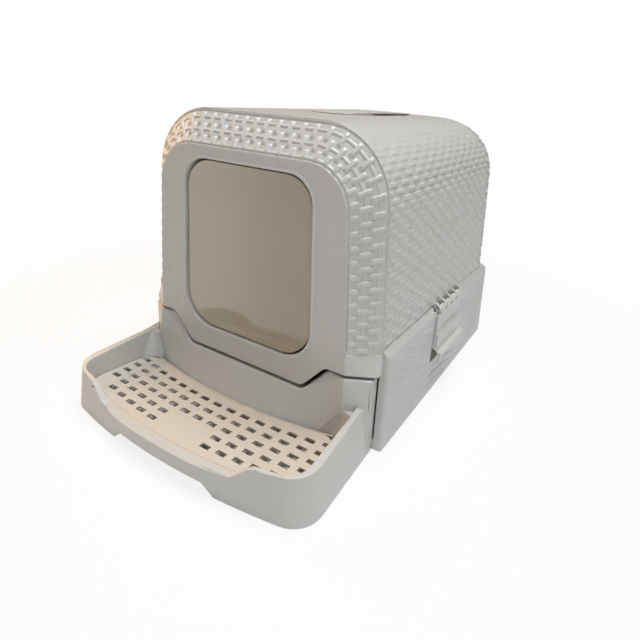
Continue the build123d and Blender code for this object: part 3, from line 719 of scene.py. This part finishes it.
def taper_lip(work):
    """Lets both ends of the low rim's rolled lip run out flush with the bowed skirt."""
    ends = []
    for vertex in work.verts:
        x, y, z = vertex.co.x / mm, vertex.co.y / mm - panel_y, vertex.co.z / mm
        on_lip = lip_low_z - 0.5 < z < lip_high_z + 0.5 and y < lip_rear_y
        if on_lip and lip_run_out_x < abs(x) < lip_half:
            side = 1 if x > 0 else -1
            x = min(abs(x), lip_end_x)
            skirt_y = skirt_middle_y + x * x / (2.0 * skirt_bow_r)
            share = (x - lip_run_out_x) / (lip_end_x - lip_run_out_x)
            if y < skirt_y - 0.2:
                vertex.co.x = side * x * mm
                vertex.co.y += (skirt_y - y) * share * mm
            if x > lip_end_x - 2.0:
                ends.append(vertex)
    bmesh.ops.remove_doubles(work, verts=ends, dist=1.0 * mm)


drawer = moulded_copy("drawer_front", "drawer_front_visual", 2.4, drawer_radius, taper_lip)
fit(drawer, "drawer", "housing_plastic", drawer_plastic, "drawer_front")

# ---- Step grate: loose warm-grey plate with five bowed rows of slots, lying in the trough.
# It is one moulding of a warmer plastic than the rest, with a fine bead along its front edge.
grate_plastic = moulded_plastic("warm grate plastic", (0.68, 0.63, 0.55), 0.34)
grate = moulded_copy("step_grate", "slotted_grate", 0.5, even_radius)
fit(grate, "grate", "grate_plastic", grate_plastic, "step_grate")

grate_top = 32.3
bead_radius = 1.5
bead_proud = 0.7
bead_half = 148.0
bead_middle_y = -135.5
bead_bow = 17.5
bead_steps = 30
bead_line = []
for step in range(-bead_steps, bead_steps + 1):
    share = step / bead_steps
    bead_y = bead_middle_y + bead_bow * share**2
    bead_line.append(spot(bead_half * share, bead_y, grate_top - bead_radius + bead_proud))
grate_bead = grown(
    "grate_front_bead",
    along([bead_line], "bead line"),
    rods,
    {"Radius": bead_radius * mm, "Sides": 8, "Plastic": grate_plastic},
)
fit(grate_bead, "grate", "grate_plastic", grate_plastic)

# ---- Litter pan: deep open pan of a greyer plastic, with a flange round its top. It is
# screwed to the drawer front and comes out with it.
pan_plastic = moulded_plastic("grey pan plastic", (0.56, 0.55, 0.53), 0.45, (0.96, 0.96, 0.95))
pan = moulded_copy("litter_tray", "litter_pan", 0.9, even_radius)
fit(pan, "drawer", "pan_plastic", pan_plastic, "litter_tray")

# ---- Side latches: wide snap latches of the same plastic, each a comb of knuckles on the
# hood's lugs, a flat plate and a finger lip, hung on a steel pin.
latch_plastic = moulded_plastic("latch plastic", (0.65, 0.64, 0.61), 0.34)
match_play = 0.15
ledge_moves = (
    ((205.6, 82.0), (205.0, 79.4)),
    ((211.2, 76.5), (211.8, 77.6)),
    ((198.9, 108.0), (198.9, 105.4)),
    ((202.6, 103.0), (203.4, 104.0)),
)


def sharpen_ledges(work):
    """Brings the plate's ledge and the finger lip's top nearer to level: (x, z) places moved."""
    for vertex in work.verts:
        for (x, z), (new_x, new_z) in ledge_moves:
            side = 1 if vertex.co.x > 0 else -1
            off_x = abs(vertex.co.x) / mm - x
            off_z = vertex.co.z / mm - z
            if abs(off_x) < match_play and abs(off_z) < match_play:
                vertex.co.x = side * new_x * mm
                vertex.co.z = new_z * mm


for hand in ("right", "left"):
    latch = moulded_copy("latch_" + hand, "side_latch_" + hand, 0.7, even_radius, sharpen_ledges)
    fit(latch, "latch_" + hand, "latch_plastic", latch_plastic, "latch_" + hand)

# ---- Carry handle: low bow of the latches' plastic over the finger dish. A flat foot at
# each end passes down through the roof.
handle = moulded_copy("carry_handle", "bow_handle", 0.8, even_radius)
fit(handle, "handle", "latch_plastic", latch_plastic, "carry_handle")


# ---- Steel parts: drawn pins of the flap, latches and handle, and the drawer's four screws.
# They are the CAD nodes themselves, with a drawn steel finish.
def drawn_steel():
    """Plain drawn wire: fine turning marks along it and uneven gloss."""
    material = bpy.data.materials.new("drawn steel")
    material.use_nodes = True
    tree = material.node_tree
    shader = tree.nodes["Principled BSDF"]
    place = Wire(tree).node("ShaderNodeTexCoord", {}, {}, "Object")
    marks = place.node("ShaderNodeTexNoise", {}, {"Vector": place, "Scale": 900.0, "Detail": 3.0})
    bump = place.node("ShaderNodeBump", {}, {"Height": marks, "Strength": 0.3, "Distance": 0.00005})
    rough = 0.28 + marks * 0.2
    tree.links.new(rough.socket, shader.inputs["Roughness"])
    tree.links.new(bump.socket, shader.inputs["Normal"])
    shader.inputs["Base Color"].default_value = (0.6, 0.6, 0.6, 1.0)
    shader.inputs["Metallic"].default_value = 1.0
    return material


steel = drawn_steel()
steel_nodes = [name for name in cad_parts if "_pin_" in name] + ["drawer_screws"]
for name in steel_nodes:
    steel_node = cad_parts[name]
    steel_node.data.materials.clear()
    steel_node.data.materials.append(steel)

# ---- Studio: pale floor that keeps the shadow, white behind, soft lamps and the camera. The
# camera sees the floor nearly white, and quite white away from the box.
floor_mesh = bpy.data.meshes.new("floor")
reach = 40.0
floor_mesh.from_pydata(
    [(-reach, -reach, 0), (reach, -reach, 0), (reach, reach, 0), (-reach, reach, 0)], [], [(0, 1, 2, 3)]
)
floor = bpy.data.objects.new("floor", floor_mesh)
bpy.context.scene.collection.objects.link(floor)
floor_paint = bpy.data.materials.new("pale floor")
floor_paint.use_nodes = True
floor_tree = floor_paint.node_tree
floor_shader = floor_tree.nodes["Principled BSDF"]
floor_shader.inputs["Base Color"].default_value = (0.87, 0.87, 0.86, 1.0)
floor_shader.inputs["Roughness"].default_value = 0.9
seen = Wire(floor_tree).node("ShaderNodeLightPath", {}, {}, "Is Camera Ray")
mirrored = Wire(floor_tree).node("ShaderNodeLightPath", {}, {}, "Is Glossy Ray")
passed = Wire(floor_tree).node("ShaderNodeLightPath", {}, {}, "Is Transmission Ray")
shadow_reach = 0.45
white_reach = 1.2
near_white = 0.84
ground = seen.node("ShaderNodeTexCoord", {}, {}, "Object")
reach_out = seen.node("ShaderNodeVectorMath", {"operation": "LENGTH"}, {0: ground}, "Value")
whiteness = seen.node(
    "ShaderNodeMapRange",
    {"interpolation_type": "SMOOTHSTEP"},
    {
        "Value": reach_out,
        "From Min": shadow_reach,
        "From Max": white_reach,
        "To Min": near_white,
        "To Max": 1.0,
    },
)
ray = (seen + mirrored + passed) * whiteness
floor_out = floor_tree.nodes["Material Output"]
white = ray.node("ShaderNodeEmission", {}, {"Color": (1, 1, 1, 1), "Strength": 1.0})
painted = Wire(floor_tree, floor_shader.outputs[0])
mixed = ray.node("ShaderNodeMixShader", {}, {0: ray, 1: painted, 2: white})
floor_tree.links.new(mixed.socket, floor_out.inputs["Surface"])
floor_mesh.materials.append(floor_paint)

world = bpy.data.worlds.new("studio")
bpy.context.scene.world = world
world.use_nodes = True
sky = world.node_tree
sky.nodes["Background"].inputs["Color"].default_value = (1.0, 0.97, 0.93, 1.0)
sky.nodes["Background"].inputs["Strength"].default_value = 0.05
sky_ray = sky.nodes.new("ShaderNodeLightPath")
plain = Wire(sky, sky.nodes["Background"].outputs[0])
behind = plain.node("ShaderNodeBackground", {}, {"Color": (1, 1, 1, 1), "Strength": 1.0})
seen = Wire(sky, sky_ray.outputs["Is Camera Ray"])
sky_mix = plain.node("ShaderNodeMixShader", {}, {0: seen, 1: plain, 2: behind})
sky.links.new(sky_mix.socket, sky.nodes["World Output"].inputs["Surface"])


def lamp(name, place, target, size, watts, colour):
    """A square soft box that faces its target."""
    light = bpy.data.lights.new(name, "AREA")
    light.size = size
    light.energy = watts
    light.color = colour
    holder = bpy.data.objects.new(name, light)
    bpy.context.scene.collection.objects.link(holder)
    aim = (Vector(target) - Vector(place)).to_track_quat("-Z", "Y")
    holder.matrix_world = Matrix.Translation(Vector(place)) @ aim.to_matrix().to_4x4()


lamp("top box", (0.3, 0.0, 2.2), (0, 0, 0.2), 1.1, 42, (0.98, 0.985, 1.0))
lamp("front right box", (1.5, -1.7, 0.9), (0, 0, 0.2), 1.4, 12, (0.84, 0.92, 1.0))
lamp("left box", (-2.2, 0.0, 1.0), (0, 0, 0.2), 1.4, 30, (1.0, 0.52, 0.16))

camera = bpy.data.cameras.new("camera")
camera.sensor_width = 36.0
camera.lens = 26.331
camera.clip_start = 0.01
view = bpy.data.objects.new("camera", camera)
bpy.context.scene.collection.objects.link(view)
camera_place = spot(361.454, -422.233, 403.541)
yaw, pitch, roll = radians(30.255), radians(-25.2573), radians(4.6661)
forward = Vector((-sin(yaw) * cos(pitch), cos(yaw) * cos(pitch), sin(pitch)))
level_right = forward.cross(Vector((0, 0, 1))).normalized()
level_up = level_right.cross(forward)
right = cos(roll) * level_right + sin(roll) * level_up
up = -sin(roll) * level_right + cos(roll) * level_up
view.matrix_world = Matrix.Translation(camera_place) @ Matrix((right, up, -forward)).transposed().to_4x4()
bpy.context.scene.camera = view
bpy.context.scene.view_settings.view_transform = "Standard"
